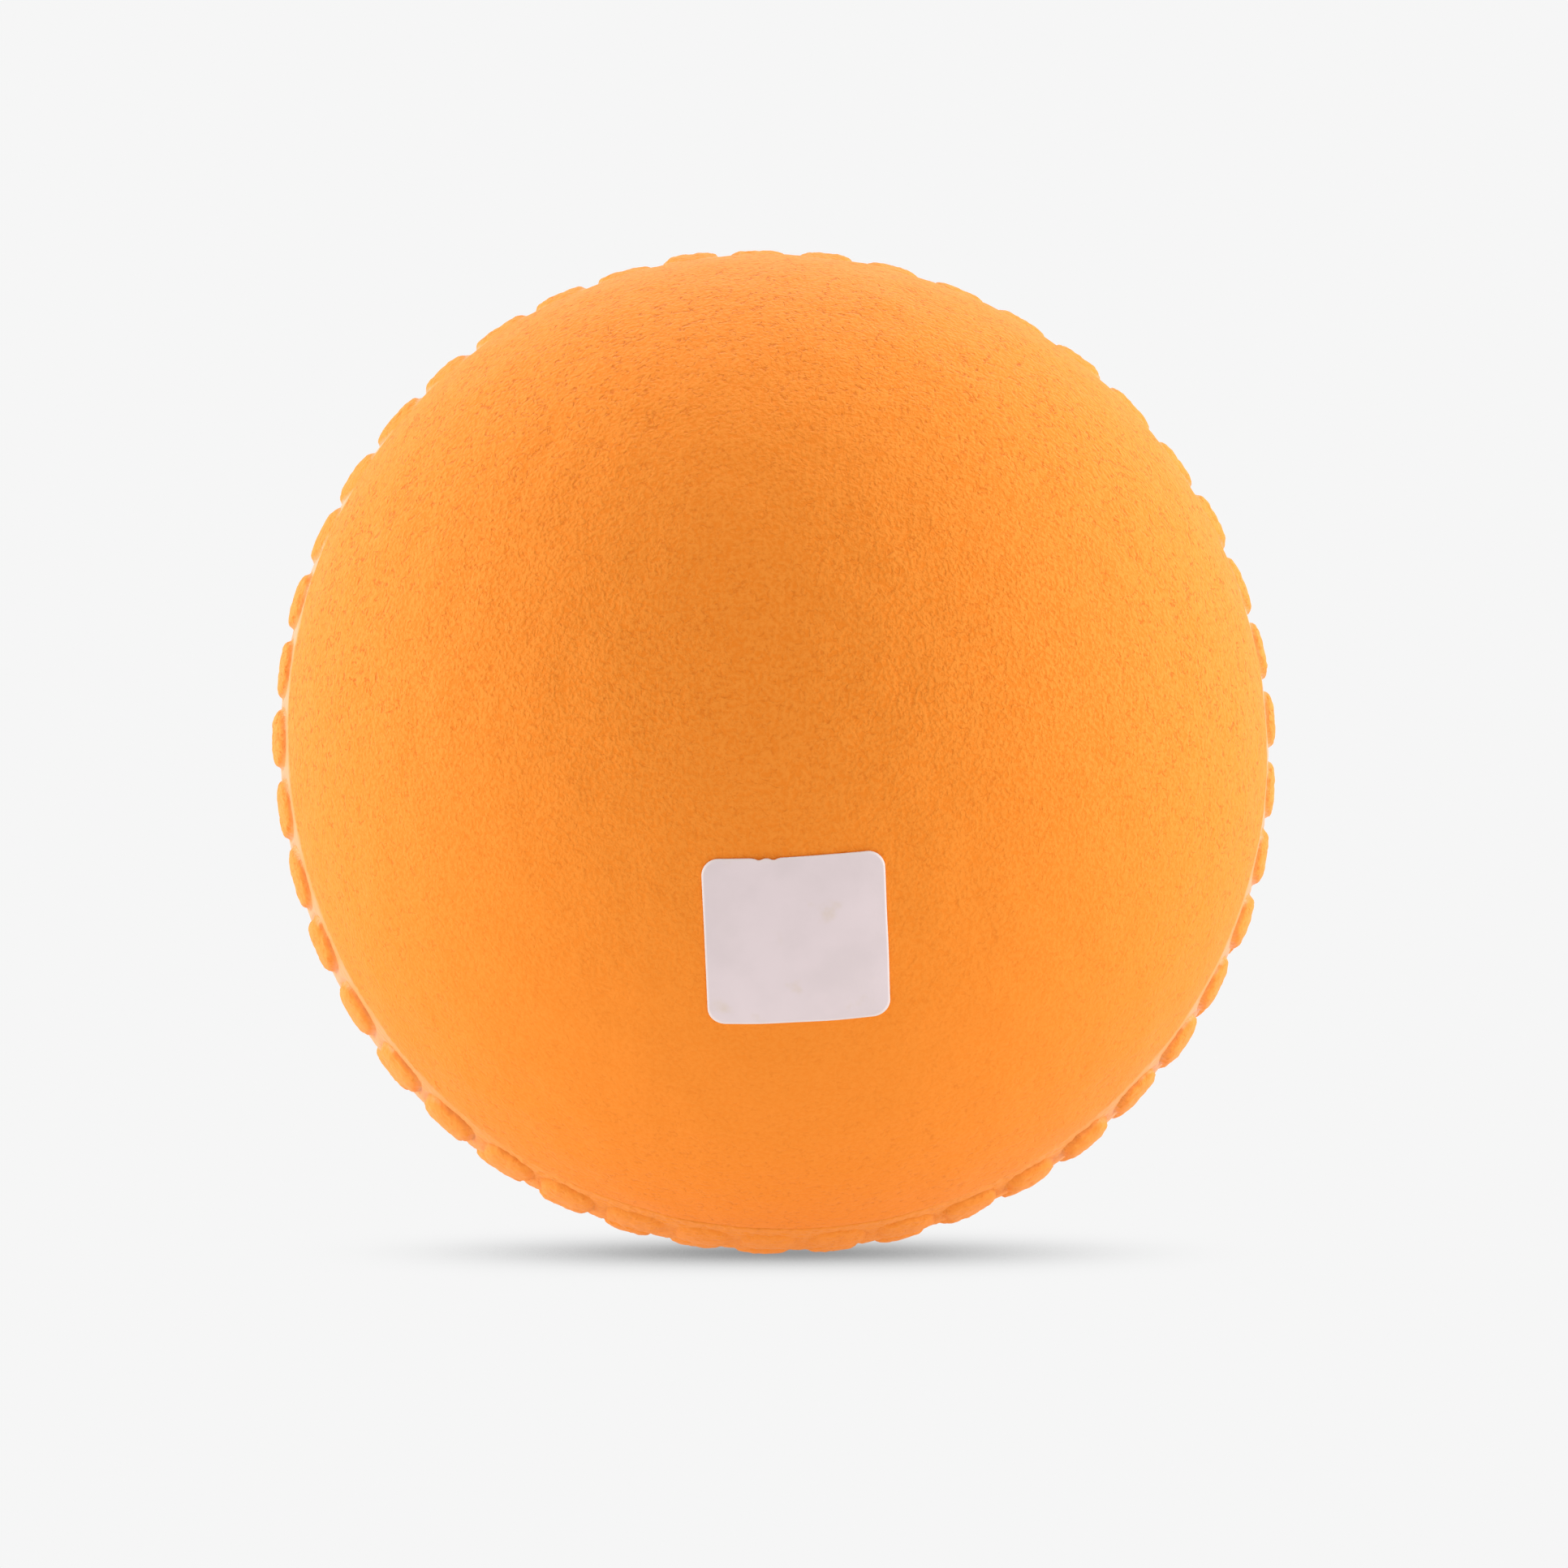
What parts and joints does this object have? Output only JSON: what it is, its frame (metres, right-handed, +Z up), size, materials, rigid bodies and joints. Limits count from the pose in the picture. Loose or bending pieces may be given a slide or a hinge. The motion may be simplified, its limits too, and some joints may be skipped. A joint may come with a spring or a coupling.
{
  "type": "foam cricket ball",
  "caption": "Soft orange foam ball with napped half covers, a smooth moulded seam band of raised stitch pads and a small blank label, for practice and junior cricket.",
  "frame": {"origin": "centre of the ball", "axes": "+Z up, the ball resting on its rear row of stitches; the labelled front face looks towards -Y and leans up; the seam runs round in a plane close to X and Z"},
  "size_m": [0.0726, 0.0717, 0.0726],
  "materials": {
    "napped_foam": "matte orange foam with a fine buffed nap",
    "seam_foam": "smooth satin orange foam, buffed on the raised stitches",
    "core_foam": "open-cell foam, unseen",
    "label_film": "blank off-white adhesive label, satin"
  },
  "bodies": {
    "root": {"foam_core": "core_foam", "front_cover": "napped_foam", "back_cover": "napped_foam", "seam_band": "seam_foam", "label": "label_film"}
  },
  "joints": []
}
